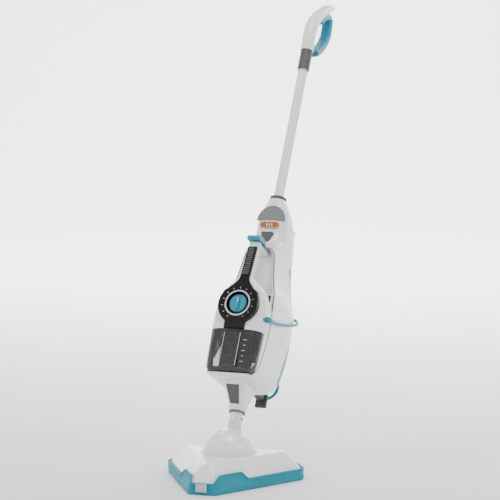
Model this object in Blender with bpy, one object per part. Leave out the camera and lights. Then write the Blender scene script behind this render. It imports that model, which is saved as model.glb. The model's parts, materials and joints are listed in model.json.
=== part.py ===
"""Steam mop: a triangular floor head, a ball neck, a leaning body with a docked steam unit, and a pole.

Lengths are in millimetres and become metres when a mesh is made. The floor head is drawn in its own
frame, turned a little about the vertical through the ball. Everything above the ball is drawn upright,
with the ball's centre at the origin and the pole along +Z, and leans back as a whole. The front is -Y.
"""

import math

import bmesh
import bpy
import numpy as np
from mathutils import Matrix, Vector

MM = 0.001
GAP = 0.3  # clearance between neighbours

# ---- whole object
LEAN = 27.0  # degrees the body leans back from the vertical
HEAD_TURN = 5.4  # degrees the floor head is turned about the vertical
BALL_Z = 50.5  # height of the ball joint's centre
POLE_TOP = 960.0  # where the pole ends inside the handle

# ---- floor head
SIDE = 370.0  # side of the triangle before its corners are cut off
CORNER_CUT = 60.0  # length cut from each side at a corner
CORNER_R = 18.0
BALL_BACK = 12.5  # the ball is this far behind the triangle's centroid
PAD_FLOOR = 4.0
PAD_RIM = 24.0
PAD_WALL = 4.7
TAB_RISE = 15.0
BASE_T = 8.2
COVER_TOP = 58.0
COVER_WALL = 2.6

# ---- ball and neck
DOME_R = 58.0
DOME_WALL = 3.0
BAND_R = DOME_R - DOME_WALL - 1.8  # outside of the ball cup's band, under the dome
NECK_R = 14.2
NECK_TOP = 92.0
PIN_R = 3.0
KNUCKLE_R = 16.5
SEAL_H = 4.0

# ---- body
WALL = 2.6
SHELF_TOP = 154.4
POLE_R = 11.0
POLE_WALL = 1.3
SOCKET_BOTTOM = 500.0
TOP_RING = (585.0, 592.0)
REAR_SPLIT = 30.0  # the body's front and rear shells meet at this depth

# ---- handheld unit
TANK_Z = (157.0, 249.3)
DIAL_Z = 305.0
DIAL_R = 46.0
WELL_R = 26.2
KNOB_R = 19.6
RING_R = 29.0
STRIP_W = 10.5  # half-width of the ribbed strip on the grip

# ---- handle
COLLAR_Z = (908.0, 958.0)
COLLAR_R = 13.6

# ---- mains cord
CORD_D = 7.0
LEAD_X = 63.1 + CORD_D / 2  # the lead runs this far out, clear of the strain relief
HANK_X = -22.0
HANK_Z = 270.0
HANK_HALF = 50.0  # half of the straight run
HANK_IN_R = 21.5  # centreline radius of the inner turns
HANK_COLUMNS = 3
HANK_LAYERS = 4
PITCH = 7.4
HANK_Y = 119.6  # depth of the first layer

COLOURS = {
    "white": (0.86, 0.87, 0.87, 0.28, 0.0),
    "teal": (0.02, 0.40, 0.50, 0.45, 0.0),
    "grey": (0.30, 0.30, 0.31, 0.5, 0.0),
    "black": (0.02, 0.02, 0.022, 0.25, 0.0),
    "smoke": (0.12, 0.12, 0.13, 0.1, 0.0),
    "steel": (0.6, 0.6, 0.6, 0.3, 1.0),
    "orange": (0.70, 0.24, 0.04, 0.4, 0.0),
    "inner": (0.35, 0.35, 0.36, 0.6, 0.0),
}

for old in list(bpy.data.objects):
    bpy.data.objects.remove(old, do_unlink=True)


# ------------------------------------------------------------------ frames and materials


def empty(name, location=(0, 0, 0), rotation=(0, 0, 0)):
    e = bpy.data.objects.new(name, None)
    e.location = [c * MM for c in location]
    e.rotation_euler = [math.radians(a) for a in rotation]
    bpy.context.scene.collection.objects.link(e)
    return e


WORLD_FRAME = empty("world_frame")
HEAD_FRAME = empty("head_frame", (0, 0, 0), (0, 0, HEAD_TURN))
BODY_FRAME = empty("body_frame", (0, 0, BALL_Z), (-LEAN, 0, 0))


def material(name):
    found = bpy.data.materials.get(name)
    if found:
        return found
    r, g, b, rough, metal = COLOURS[name]
    m = bpy.data.materials.new(name)
    m.use_nodes = True
    shader = m.node_tree.nodes["Principled BSDF"]
    shader.inputs["Base Color"].default_value = (r, g, b, 1)
    shader.inputs["Roughness"].default_value = rough
    shader.inputs["Metallic"].default_value = metal
    return m


def add(name, mesh, colour=None, frame=None):
    """A new object from a mesh in millimetres or from a bmesh."""
    if isinstance(mesh, bmesh.types.BMesh):
        data = bpy.data.meshes.new(name)
        bmesh.ops.recalc_face_normals(mesh, faces=mesh.faces)
        mesh.to_mesh(data)
        mesh.free()
    else:
        data = mesh
    o = bpy.data.objects.new(name, data)
    bpy.context.scene.collection.objects.link(o)
    if colour:
        data.materials.clear()
        data.materials.append(material(colour))
        data.transform(Matrix.Scale(MM, 4))
        o.parent = frame
        data.shade_smooth()
        data.set_sharp_from_angle(angle=math.radians(35))
    return o


# ------------------------------------------------------------------ shapes, as bmeshes in millimetres


def loft(rings, closed=False):
    """A solid through rings of equal count; closed joins the last ring to the first, as round a loop."""
    bm = bmesh.new()
    rows = [[bm.verts.new(p) for p in ring] for ring in rings]
    n = len(rows[0])
    pairs = list(zip(rows, rows[1:])) + ([(rows[-1], rows[0])] if closed else [])
    for a, b in pairs:
        for i in range(n):
            j = (i + 1) % n
            bm.faces.new((a[i], a[j], b[j], b[i]))
    if not closed:
        bm.faces.new(rows[0][::-1])
        bm.faces.new(rows[-1])
    bmesh.ops.recalc_face_normals(bm, faces=bm.faces)
    return bm


def lathe(profile, n=28, centre=(0, 0, 0), axis="Z"):
    """A closed profile of (radius, height) turned about an axis; zero radii close it as a solid."""
    bm = bmesh.new()
    rows = []
    for r, h in profile:
        if r < 1e-6:
            rows.append([bm.verts.new((0, 0, h))] * n)
        else:
            rows.append(
                [
                    bm.verts.new(
                        (r * math.cos(2 * math.pi * k / n), r * math.sin(2 * math.pi * k / n), h)
                    )
                    for k in range(n)
                ]
            )
    solid = profile[0][0] < 1e-6
    count = len(rows) - (1 if solid else 0)
    for i in range(count):
        a, b = rows[i], rows[(i + 1) % len(rows)]
        for k in range(n):
            j = (k + 1) % n
            corners = []
            for v in (a[k], a[j], b[j], b[k]):
                if v not in corners:
                    corners.append(v)
            if len(corners) > 2:
                bm.faces.new(corners)
    turn = {
        "Z": Matrix.Identity(4),
        "Y": Matrix.Rotation(math.radians(90), 4, "X"),
        "X": Matrix.Rotation(math.radians(90), 4, "Y"),
    }[axis]
    bmesh.ops.transform(bm, matrix=Matrix.Translation(centre) @ turn, verts=bm.verts)
    bmesh.ops.recalc_face_normals(bm, faces=bm.faces)
    return bm


def rod(r, low, high, n=20, centre=(0, 0, 0), axis="Z", chamfer=0.0):
    """A cylinder between two places on its axis. Along Y the places run towards the front, -Y."""
    if chamfer:
        c = chamfer
        profile = [(0, low), (r - c, low), (r, low + c), (r, high - c), (r - c, high), (0, high)]
    else:
        profile = [(0, low), (r, low), (r, high), (0, high)]
    return lathe(profile, n, centre, axis)


def pipe(outer, inner, low, high, n=20, centre=(0, 0, 0), axis="Z"):
    return lathe([(inner, low), (outer, low), (outer, high), (inner, high)], n, centre, axis)


def block(x, y, z, bevel=0.0):
    """A box from (low, high) pairs, with its edges bevelled."""
    bm = bmesh.new()
    bmesh.ops.create_cube(bm, size=1)
    size = Matrix.Diagonal((x[1] - x[0], y[1] - y[0], z[1] - z[0], 1))
    middle = Matrix.Translation(((x[0] + x[1]) / 2, (y[0] + y[1]) / 2, (z[0] + z[1]) / 2))
    bmesh.ops.transform(bm, matrix=middle @ size, verts=bm.verts)
    if bevel:
        bmesh.ops.bevel(bm, geom=list(bm.edges), offset=bevel, segments=2, profile=0.5, affect="EDGES")
    return bm


def super_section(half, front, back, z, n=32, power=3.4):
    """A rounded box section at height z: |x|^p + |y|^p = 1, stretched to its half-width, front and back.

    The power is one number, or a pair for the front and the rear.
    """
    middle, depth = (front + back) / 2, (back - front) / 2
    fore, aft = power if isinstance(power, tuple) else (power, power)
    ring = []
    for k in range(n):
        a = 2 * math.pi * k / n
        c, s = math.cos(a), math.sin(a)
        e = 2 / (aft if s > 0 else fore)
        x = half * math.copysign(abs(c) ** e, c)
        ring.append((x, middle + depth * math.copysign(abs(s) ** e, s), z))
    return ring


def dee_section(half, side, front, back, z, power=2.8, n=13):
    """A section with a crowned front, straight sides back to a flat back."""
    ring = []
    for k in range(n):
        a = math.pi - math.pi * k / (n - 1)
        c, s = math.cos(a), math.sin(a)
        ring.append(
            (
                half * math.copysign(abs(c) ** (2 / power), c) if abs(c) > 1e-9 else 0.0,
                side - (side - front) * abs(s) ** (2 / power) if s > 1e-9 else side,
                z,
            )
        )
    ring += [(half, back, z), (half * 0.5, back, z), (-half * 0.5, back, z), (-half, back, z)]
    return ring


def at(table, z):
    """The values of a table of rows (z, ...) at a height, along straight lines."""
    rows = sorted(table)
    zs = [r[0] for r in rows]
    return [float(np.interp(z, zs, [r[i] for r in rows])) for i in range(1, len(rows[0]))]


def boolean(base, tools, operation="DIFFERENCE"):
    """The base with every tool cut from it, joined to it or kept in common, one after another."""
    target = add("base", base)
    for tool in tools:
        cutter = add("tool", tool)
        m = target.modifiers.new("cut", "BOOLEAN")
        m.operation = operation
        m.solver = "EXACT"
        m.object = cutter
        bpy.context.view_layer.update()
        done = target.evaluated_get(bpy.context.evaluated_depsgraph_get())
        mesh = bpy.data.meshes.new_from_object(done)
        target.modifiers.clear()
        target.data = mesh
        bpy.data.objects.remove(cutter, do_unlink=True)
    out = bmesh.new()
    out.from_mesh(target.data)
    bpy.data.objects.remove(target, do_unlink=True)
    bmesh.ops.remove_doubles(out, verts=out.verts, dist=0.002)
    bmesh.ops.dissolve_degenerate(out, edges=out.edges, dist=0.002)
    return out


def cut(base, *tools):
    return boolean(base, tools, "DIFFERENCE")


def union(base, *tools):
    return boolean(base, tools, "UNION")


def common(base, *tools):
    return boolean(base, tools, "INTERSECT")


# ------------------------------------------------------------------ floor head


def head_outline(inset, radius, n=3):
    """The floor head's outline, drawn in by inset: a triangle, cut and rounded corners, one to the front."""
    side = SIDE - 2 * math.sqrt(3) * inset
    corner = CORNER_CUT - inset / math.cos(math.radians(30))
    reach = side / math.sqrt(3)
    angles = [math.radians(a) for a in (-90, 30, 150)]
    tips = [Vector((math.cos(a), math.sin(a))) * reach for a in angles]
    points = []
    for i, tip in enumerate(tips):
        before, after = tips[i - 1], tips[(i + 1) % 3]
        points += [tip + (before - tip) / side * corner, tip + (after - tip) / side * corner]
    ring = []
    for i, p in enumerate(points):
        a = (points[i - 1] - p).normalized()
        b = (points[(i + 1) % len(points)] - p).normalized()
        half = math.acos(max(-1, min(1, a.dot(b)))) / 2
        sides = [(q - p).length for q in (points[i - 1], points[(i + 1) % 6])]
        back = min(radius / math.tan(half), 0.45 * min(sides))
        r = back * math.tan(half)
        centre = p + (a + b).normalized() * (r / math.sin(half))
        start, end = p + a * back - centre, p + b * back - centre
        a0, a1 = math.atan2(start.y, start.x), math.atan2(end.y, end.x)
        sweep = (a1 - a0 + math.pi) % (2 * math.pi) - math.pi
        for k in range(n + 1):
            t = a0 + sweep * k / n
            ring.append((centre.x + r * math.cos(t), centre.y + r * math.sin(t) - BALL_BACK))
    return ring


def along(ring, count):
    """A closed outline read again at count even steps."""
    pts = np.array(ring + [ring[0]])
    run = np.concatenate([[0], np.cumsum(np.hypot(*np.diff(pts, axis=0).T))])
    steps = np.arange(count) / count * run[-1]
    return [(float(np.interp(s, run, pts[:, 0])), float(np.interp(s, run, pts[:, 1]))) for s in steps]


def tab_height(x, y):
    """How far up the pad's two front tabs a point of its rim is, from 0 to 1."""
    front = head_tip()
    reach = math.hypot(x, y - front)
    rise = min(max((reach - 22) / 14, 0), 1) * min(max((112 - reach) / 26, 0), 1)
    return rise * rise * (3 - 2 * rise) if y < 0 else 0.0


def head_tip():
    """Y of the front edge of the floor head's outline."""
    return min(p[1] for p in head_outline(0, CORNER_R))


def floor_head():
    count = 72
    outer = along(head_outline(0, CORNER_R), count)
    inner = along(head_outline(PAD_WALL, CORNER_R - 3), count)
    low = along(head_outline(2.5, CORNER_R - 1), count)
    tab_out = along(head_outline(9.5, CORNER_R - 4), count)
    tab_in = along(head_outline(13.5, CORNER_R - 4), count)

    def rim(ring, tab, extra=0.0):
        pts = []
        for (x, y), (tx, ty) in zip(ring, tab):
            t = tab_height(x, y)
            pts.append((x + (tx - x) * t, y + (ty - y) * t, PAD_RIM + TAB_RISE * t - extra))
        return pts

    rings = [
        [(x, y, 0) for x, y in low],
        [(x, y, 3) for x, y in outer],
        [(x, y, PAD_RIM - 3) for x, y in outer],
        rim(outer, tab_out),
        rim(inner, tab_in),
        [(x, y, PAD_RIM - 4) for x, y in inner],
        [(x, y, PAD_FLOOR) for x, y in inner],
    ]
    add("cleaning_pad", loft(rings), "teal", HEAD_FRAME)

    base = loft(
        [[(x, y, z) for x, y in head_outline(PAD_WALL + 1.9, CORNER_R - 4)] for z in (5.5, 5.5 + BASE_T)]
    )
    places = ((-60, -8), (60, -8), (-25, -70), (25, -70), (0, 40))
    vents = [rod(2.2, 0, 30, 8, (x, y, 0)) for x, y in places]
    add("base_plate", cut(base, *vents), "grey", HEAD_FRAME)
    add("hook_strip", block((-90, 90), (62, 84), (PAD_FLOOR + 0.2, 5.3)), "grey", HEAD_FRAME)

    floor = 5.5 + BASE_T + GAP
    steps = [(6.7, floor), (6.7, 22), (8.8, 26), (20, 40.5), (33, 53.5), (38, 57), (42, COVER_TOP)]
    outside = [[(x, y, z) for x, y in head_outline(d, max(CORNER_R - d * 0.35, 5))] for d, z in steps]
    hollow = [
        (steps[0][0] + COVER_WALL, floor - 1),
        (steps[0][0] + COVER_WALL, 21),
        (11.4, 25),
        (23, 40.5),
        (36, 52),
        (43, COVER_TOP - COVER_WALL),
    ]
    inside = [[(x, y, z) for x, y in head_outline(d, max(CORNER_R - d * 0.35, 5))] for d, z in hollow]
    cover = cut(loft(outside), loft(inside), rod(DOME_R + 0.8, 30, 80, 40))
    add("head_cover", cover, "white", HEAD_FRAME)

    tip = head_tip()
    bumper = block((-12, 12), (tip - 2.2, tip - 0.4), (7, PAD_RIM), 0.6)
    add("corner_bumper", bumper, "grey", HEAD_FRAME)

    spout = union(
        block((-11, 11), (-96, 10), (floor, floor + 1.9)),
        rod(6, floor + 0.5, BALL_Z - 22, 16),
    )
    add("steam_distributor", spout, "inner", HEAD_FRAME)


def ball_points(radius, polars):
    angles = [math.radians(p) for p in polars]
    return [(radius * math.sin(a), BALL_Z + radius * math.cos(a)) for a in angles]


def ball_cup():
    """The cup that turns in the head and carries the knuckle, under the dome."""
    inner = BAND_R - 2.2
    profile = ball_points(BAND_R, (72, 79, 86, 93, 100))
    profile += [(41, 16.6), (10, 16.6), (10, 18.6), (39.5, 18.6)]
    profile += ball_points(inner, (100, 93, 86, 79, 72))
    cup = lathe(profile, 28)
    ears = []
    for side in (-1, 1):
        y = sorted((side * 18.5, side * 24.5))
        ears.append(block((-6.5, 6.5), y, (18.0, BALL_Z + 6.5)))
    bore = rod(PIN_R + 0.35, -40, 40, 16, (0, 0, BALL_Z), "Y")
    add("ball_cup", cut(union(cup, *ears), bore), "inner", WORLD_FRAME)


def knuckle():
    """The cross of the universal joint, level, with one pin pair along X and one along Y."""
    centre = (0, 0, BALL_Z)
    ring = rod(KNUCKLE_R, -6, 6, 24, centre)
    pins = [rod(PIN_R, -24, 24, 16, centre, axis) for axis in ("X", "Y")]
    cross = cut(union(ring, *pins), rod(8, -10, 10, 20, centre))
    add("knuckle", cross, "steel", WORLD_FRAME)
    add("knuckle_hose", pipe(6.5, 4, -12, 7, 16, centre), "grey", WORLD_FRAME)


# ------------------------------------------------------------------ neck, drawn upright about the ball


def neck():
    n = 28

    def dome_ring(radius, share, flare):
        """A ring of the dome between its crown and its slanted edge, which is lower in front."""
        ring = []
        for k in range(n):
            a = 2 * math.pi * k / n
            edge = 89.0 - 21.0 * math.sin(a)
            polar = math.radians(flare + (edge - flare) * share)
            level = radius * math.sin(polar)
            ring.append((level * math.cos(a), level * math.sin(a), radius * math.cos(polar)))
        return ring

    def circle(r, z):
        turns = [2 * math.pi * k / n for k in range(n)]
        return [(r * math.cos(a), r * math.sin(a), z) for a in turns]

    shares = (0.0, 0.2, 0.4, 0.6, 0.8, 1.0)
    flare = ((0, NECK_TOP), (0, 74), (1.6, 63), (3.5, 57.5))
    outer = [circle(NECK_R + more, z) for more, z in flare]
    outer += [dome_ring(DOME_R, s, 23.5) for s in shares]
    inner_r = DOME_R - DOME_WALL
    bore = NECK_R - 3.2
    inner = [dome_ring(inner_r, s, 19.0) for s in reversed(shares)]
    inner += [circle(bore + 1.5, 52.6), circle(bore, 56), circle(bore, NECK_TOP)]
    shell = loft(outer + inner, closed=True)
    arms = []
    for side in (-1, 1):
        x = sorted((side * 18.4, side * 23.4))
        arms.append(block(x, (-5.5, 5.5), (-6.5, 50.0)))
    bores = rod(PIN_R + 0.35, -40, 40, 16, (0, 0, 0), "X")
    hole = rod(3.4, 0, 30, 12, (0, 0, 80), "X")
    body = cut(union(shell, *arms), bores, hole)
    add("neck", body, "white", BODY_FRAME)
    add("neck_pipe", pipe(5, 3.4, 32, 140, 16), "inner", BODY_FRAME)
    add("neck_seal", pipe(17.6, 9.0, NECK_TOP + 0.3, NECK_TOP + 0.3 + SEAL_H, 28), "grey", BODY_FRAME)
    centre = (0, 0, 80)
    button = union(rod(3.0, 9.3, 15.0, 12, centre, "X", 0.4), rod(4.2, 7.0, 9.9, 12, centre, "X"))
    add("latch_button", button, "black", BODY_FRAME)


# ------------------------------------------------------------------ body

# rows of (z, half-width, front, back) of the body's outside
BODY = [
    (149.6, 40, -76, 40),
    (152.0, 48, -86, 52),
    (154.4, 52.5, -89, 59),
    (158, 54.5, -88, 66),
    (165, 57, -84, 76),
    (176, 58.5, -80, 88),
    (190, 59.2, -76, 97),
    (210, 60, -70, 104),
    (240, 60.8, -66, 110),
    (270, 61, -64, 112),
    (300, 61, -64, 110),
    (330, 60.7, -64, 108),
    (340, 60, -62, 107),
    (350, 57.6, -58, 106),
    (360, 54.0, -54, 105),
    (370, 50.0, -52, 103),
    (380, 47.0, -52, 101),
    (400, 43.5, -52, 98),
    (425, 39.5, -52, 94),
    (445, 37.8, -47, 91),
    (458, 37.4, -41, 88),
    (470, 37.2, -32, 84),
    (484, 37.4, -24.5, 78),
    (500, 37.5, -20.5, 70),
    (530, 36.0, -20, 55),
    (548, 33.0, -20, 44),
    (562, 29.0, -19.5, 34),
    (574, 24.0, -19, 26),
    (584.7, 18.4, -18.4, 18.4),
]
# rows of (z, depth of the seam between the body and the handheld unit)
SEAM = [
    (150, -78), (158, -74), (165, -70), (180, -63), (200, -57), (232, -52),
    (300, -50), (340, -51), (352, -47), (365, -41.5), (380, -39),
    (420, -39), (445, -39.5), (458, -38), (470, -32.5),
]  # fmt: skip


def body_solid(inset=0.0):
    rows = BODY
    rings = []
    for z, half, front, back in rows:
        rear_power = max(3.4 if z < 540 else 3.4 - (z - 540) * 0.028, 2.15)
        power = (float(np.interp(z, (440, 484), (12.0, 3.4))) if z < 484 else rear_power, rear_power)
        zz = min(max(z, rows[0][0] + inset), rows[-1][0] - inset)
        rings.append(super_section(half - inset, front + inset, back - inset, zz, 24, power))
    keep = [rings[0]]
    for r in rings[1:]:
        if r[0][2] - keep[-1][0][2] > 0.8:
            keep.append(r)
    return loft(keep)


def recess_half(z):
    """Half-width of the recess that takes the handheld unit."""
    half = at(BODY, z)[0] - 3.4
    if z > 430:
        drop = (z - 430) / 29.0
        half = min(half, 14 + (half - 14) * math.sqrt(max(1 - drop * drop, 0)))
    return max(half, 14)


def pocket_section(z, shrink, front):
    """The recess's section: straight sides to the seam, and a rounded back behind it."""
    half = recess_half(z) - shrink
    edge = seam_at(z)
    deep = at(RECESS_BACK, z)[0] - shrink
    ring = [(-half, front), (half, front)]
    n = 10
    for k in range(n + 1):
        a = math.pi * k / n
        c, s = math.cos(a), math.sin(a)
        x = half * math.copysign(abs(c) ** 0.45, c) if abs(c) > 1e-9 else 0.0
        ring.append((x, edge + (deep - edge) * abs(s) ** 0.45 if s > 1e-9 else edge))
    return [(x, y, z) for x, y in ring]


LOW_STATIONS = (162, 176, 200, 240, 300, 344)
HIGH_STATIONS = (352, 360, 370, 380, 400, 425, 441, 449, 455)
SEAM_STATIONS = (160, 165, 172, 180, 190, 200, 215, 232, 260, 300, 340, 352, 365, 380, 420, 445, 458, 466)
RECESS_BACK = [(150, -5.0), (344, -5.0), (352, -17.0), (470, -17.0)]


def recess():
    """Everything ahead of the seam, and the pocket behind it."""
    rings = [pocket_section(z, 0, -130) for z in (SHELF_TOP,) + LOW_STATIONS + HIGH_STATIONS + (458.5,)]
    ahead = [
        [(-90, -140, z), (90, -140, z), (90, seam_at(z), z), (-90, seam_at(z), z)]
        for z in (SHELF_TOP + 0.02,) + SEAM_STATIONS
    ]
    return loft(rings), loft(ahead)


def seam_at(z):
    return at(SEAM, z)[0]


def body():
    outer = body_solid()
    hollow = body_solid(WALL)
    pocket, ahead = recess()
    front_in = block((-100, 100), (-200, -2.3), (100, 350))
    upper_in = block((-100, 100), (-200, -12.0), (349, 620))
    top_hole = rod(POLE_R + 3.6, 480, 600, 28)
    button_pocket = trapezoid(14.6, 8.4, 476.2, 502.6, -60, 10, 2.0)
    scoop_pocket = half_disc(34.0, 530.6, -60, SCOOP_DEPTH)
    badge_pocket = pill(23.4, 8.4, 520.0, -60, -18.0)
    bottom_hole = rod(6.0, 140, 153.5, 20, (0, 9, 0))
    space = cut(hollow, front_in, upper_in)
    port = rod(8.0, -20, 20, 20, (0, 0, 200), "Y")
    shell = cut(outer, pocket, ahead, space, top_hole, button_pocket)
    shell = cut(shell, scoop_pocket, badge_pocket, bottom_hole, port)
    front = common(shell.copy(), block((-100, 100), (-150, REAR_SPLIT - GAP / 2), (100, 620)))
    pieces_only_largest(front)
    add("body_front", front, "white", BODY_FRAME)
    rear = common(shell, block((-100, 100), (REAR_SPLIT + GAP / 2, 150), (100, 620)))
    pieces_only_largest(rear)
    rear = cut(rear, low_hook_pocket(), hook_pocket())
    cover = common(rear.copy(), behind_spine(GAP / 2))
    pieces_only_largest(cover)
    add("spine_cover", cover, "teal", BODY_FRAME)
    rear = cut(rear, behind_spine(-GAP / 2))
    pieces_only_largest(rear)
    add("body_rear", rear, "white", BODY_FRAME)

    duct()
    insets()
    hooks()
    steam_path()


# rows of (z, depth of the joint line between the white rear shell and the teal spine cover)
SPINE_LINE = [
    (176, 47), (185, 47.5), (222, 55), (261, 67), (300, 80),
    (340, 78), (376, 66), (425, 48), (445, 42),
]  # fmt: skip


def behind_spine(shift):
    """Everything behind the spine cover's joint line."""
    low, high = SPINE_LINE[0][0] + shift, SPINE_LINE[-1][0] - shift
    line = [(low, 160), (low, SPINE_LINE[0][1] + shift)]
    line += [(z, y + shift) for z, y in SPINE_LINE[1:-1]]
    line += [(high, SPINE_LINE[-1][1] + shift), (high, 160)]
    return loft([[(x, y, z) for z, y in line] for x in (-90, 90)])


def pieces_only_largest(bm):
    """Drops loose scraps that a cut has left, keeping the largest body."""
    left = set(bm.verts)
    groups = []
    while left:
        seed = left.pop()
        group, stack = {seed}, [seed]
        while stack:
            v = stack.pop()
            for e in v.link_edges:
                w = e.other_vert(v)
                if w in left:
                    left.discard(w)
                    group.add(w)
                    stack.append(w)
        groups.append(group)
    groups.sort(key=len, reverse=True)
    for g in groups[1:]:
        bmesh.ops.delete(bm, geom=list(g), context="VERTS")


SCOOP_DEPTH = -15.0


def half_disc(r, base, front, back):
    """A half-round plug with a flat lower edge, from front to back."""
    n = 14
    turns = [math.pi * k / n for k in range(n + 1)]
    ring = [(r * math.cos(a), base + r * math.sin(a) * 1.06) for a in turns]
    return loft([[(x, y, z) for x, z in ring] for y in (front, back)])


def pill(half, r, z, front, back, n=8):
    ring = []
    for side in (1, -1):
        for k in range(n + 1):
            a = side * math.pi / 2 - side * math.pi * k / n if side > 0 else -math.pi / 2 - math.pi * k / n
            ring.append((side * (half - r) + r * math.cos(a), z + r * math.sin(a)))
    return loft([[(x, y, zz) for x, zz in ring] for y in (front, back)])


def trapezoid(top, bottom, low, high, front, back, r):
    """A plug whose front is wider at its top, with its corners cut."""
    pts = [
        (-bottom + r, low),
        (bottom - r, low),
        (bottom, low + r),
        (top, high - r),
        (top - r, high),
        (-top + r, high),
        (-top, high - r),
        (-bottom, low + r),
    ]
    return loft([[(x, y, z) for x, z in pts] for y in (front, back)])


def duct():
    """The funnel between the neck and the body, with its grey front panel."""
    rows = [(96.8, 17.6, -17.6, 17.6), (112, 19.5, -25, 20), (130, 24, -42, 27), (149.2, 29, -60, 37)]

    def ring(z, inset=0.0, height=None):
        half, front, back = at(rows, z)
        power = 2.0 + 1.2 * (z - rows[0][0]) / (rows[-1][0] - rows[0][0])
        height = z if height is None else height
        return super_section(half - inset, front + inset, back - inset, height, 28, power)

    outer = loft([ring(z) for z, *_ in rows])
    inner = loft([ring(99.4, WALL), ring(112, WALL), ring(130, WALL), ring(149.2, WALL, 150.4)])
    slope = [(108, -21.5), (141, -51.0)]
    panel_rings = []
    pocket_rings = []
    for z, y in slope:
        half = 10.0 + (z - 108) * 0.14
        fore, aft = y - 1.6, y + 0.9
        panel_rings.append([(-half, fore, z), (half, fore, z), (half, aft, z), (-half, aft, z)])
        zz = z + (0.4 if z > 120 else -0.4)
        wide = half + 0.4
        fore, aft = y - 30, y + 1.7
        pocket_rings.append([(-wide, fore, zz), (wide, fore, zz), (wide, aft, zz), (-wide, aft, zz)])
    shell = cut(outer, inner, rod(5.6, 90, 105, 20))
    shell = cut(shell, loft(pocket_rings))
    pieces_only_largest(shell)
    add("duct", shell, "white", BODY_FRAME)
    add("duct_panel", loft(panel_rings), "grey", BODY_FRAME)


def insets():
    insert = half_disc(33.6, 531.0, SCOOP_DEPTH - 3.0, SCOOP_DEPTH - GAP)
    add("scoop_insert", insert, "grey", BODY_FRAME)
    add("badge", pill(23.0, 8.0, 520.0, -21.6, -18.3), "orange", BODY_FRAME)
    add("top_ring", pipe(18.7, POLE_R + 0.5, *TOP_RING, 32), "grey", BODY_FRAME)
    button = trapezoid(14.0, 7.8, 476.8, 502.0, -25.5, -6, 2.0)
    add("release_button", button, "grey", BODY_FRAME)
    bore = rod(POLE_R + 0.4, SOCKET_BOTTOM + 6, 600, 28)
    socket = cut(rod(POLE_R + 3.0, SOCKET_BOTTOM + 3, 584.9, 28), bore)
    add("pole_socket", socket, "inner", BODY_FRAME)


def low_hook_pocket():
    return rod(9.2, -140, -40, 20, (0, 0, 164), "Y")


def hook_pocket():
    return rod(6.4, -140, -40, 20, (0, 0, 538), "Y")


def hooks():
    low = union(
        rod(8.8, -112, -60, 20, (0, 0, 164), "Y"),
        block((-13, 13), (110, 120), (143, 174), 2.5),
    )
    add("lower_cord_hook", low, "black", BODY_FRAME)
    hook = union(
        rod(6.0, -100, -40, 20, (0, 0, 538), "Y"),
        block((-11, 11), (98, 106), (506, 554), 2.5),
    )
    add("upper_cord_hook", hook, "white", BODY_FRAME)
    profile = [(6.4, -72), (13.5, -72), (14.5, -70), (14.5, -42), (6.4, -42)]
    collar = lathe(profile, 24, (0, 0, 538), "Y")
    add("hook_collar", cut(collar, body_solid(-GAP)), "teal", BODY_FRAME)


def steam_path():
    """The steam pipe from the port at the handheld unit's nozzle down to the neck."""
    add("steam_port", pipe(7.6, 4.2, -14, 2.2, 20, (0, 0, 200), "Y"), "inner", BODY_FRAME)


# ------------------------------------------------------------------ handheld unit

# rows of (z, half-width, side depth, front depth) of the unit's front
UNIT = [
    (155.2, 42, -76, -84),
    (158.5, 50, -76.5, -90),
    (166, 55, -74.5, -93.5),
    (180, 57.5, -71, -95.5),
    (210, 59.2, -69, -97),
    (249, 60.2, -68.5, -98),
    (280, 60.5, -68.5, -98),
    (305, 58.5, -68.5, -98),
    (322, 55, -69, -97.6),
    (338, 48, -69.5, -96.8),
    (352, 37.5, -70, -95.6),
    (362, 27, -72, -94.2),
    (370, 17, -76, -92.8),
]


def unit_front(inset=0.0):
    rings = []
    for z, half, side, front in UNIT:
        back = seam_at(z) - GAP if not inset else seam_at(z) - 2.2
        zz = min(max(z, 155.2 + inset), 370 - inset)
        if rings and zz - rings[-1][0][2] < 0.8:
            continue
        rings.append(dee_section(half - inset, min(side, back - 1.2), front + inset, back, zz))
    return loft(rings)


def unit_back(inset=0.0):
    low, high = 155.6 + inset, 344.4 - inset
    stations = [low] + [z for z in LOW_STATIONS if low < z < high - 1] + [high]
    ahead = 12 if inset else 9
    return loft([pocket_section(z, 0.6 + inset, seam_at(z) - ahead) for z in stations])


def back_plate():
    """The dished wall behind the finger gap, up to the rounded top of the unit."""
    thick = 2.8
    rings = []
    for z in (344.8,) + HIGH_STATIONS:
        half = recess_half(z) - 0.7
        edge = seam_at(z)
        deep = at(RECESS_BACK, max(z, 352))[0] - 0.7
        reach = deep - edge
        now = at(RECESS_BACK, z)[0] - 0.7 - edge
        outer = [(x, edge + (y - edge) * reach / now, z) for x, y, _ in pocket_section(z, 0.7, 0)[2:]]
        a, b = (half - thick) / half, (reach - thick) / reach
        inner = [(x * a, edge + (y - edge) * b, z) for x, y, _ in outer]
        lip = edge - 0.6
        left = [(-half, lip, z), (-half + thick, lip, z)]
        rings.append([(half, lip, z)] + outer + left + inner[::-1] + [(half - thick, lip, z)])
    return loft(rings)


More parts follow.
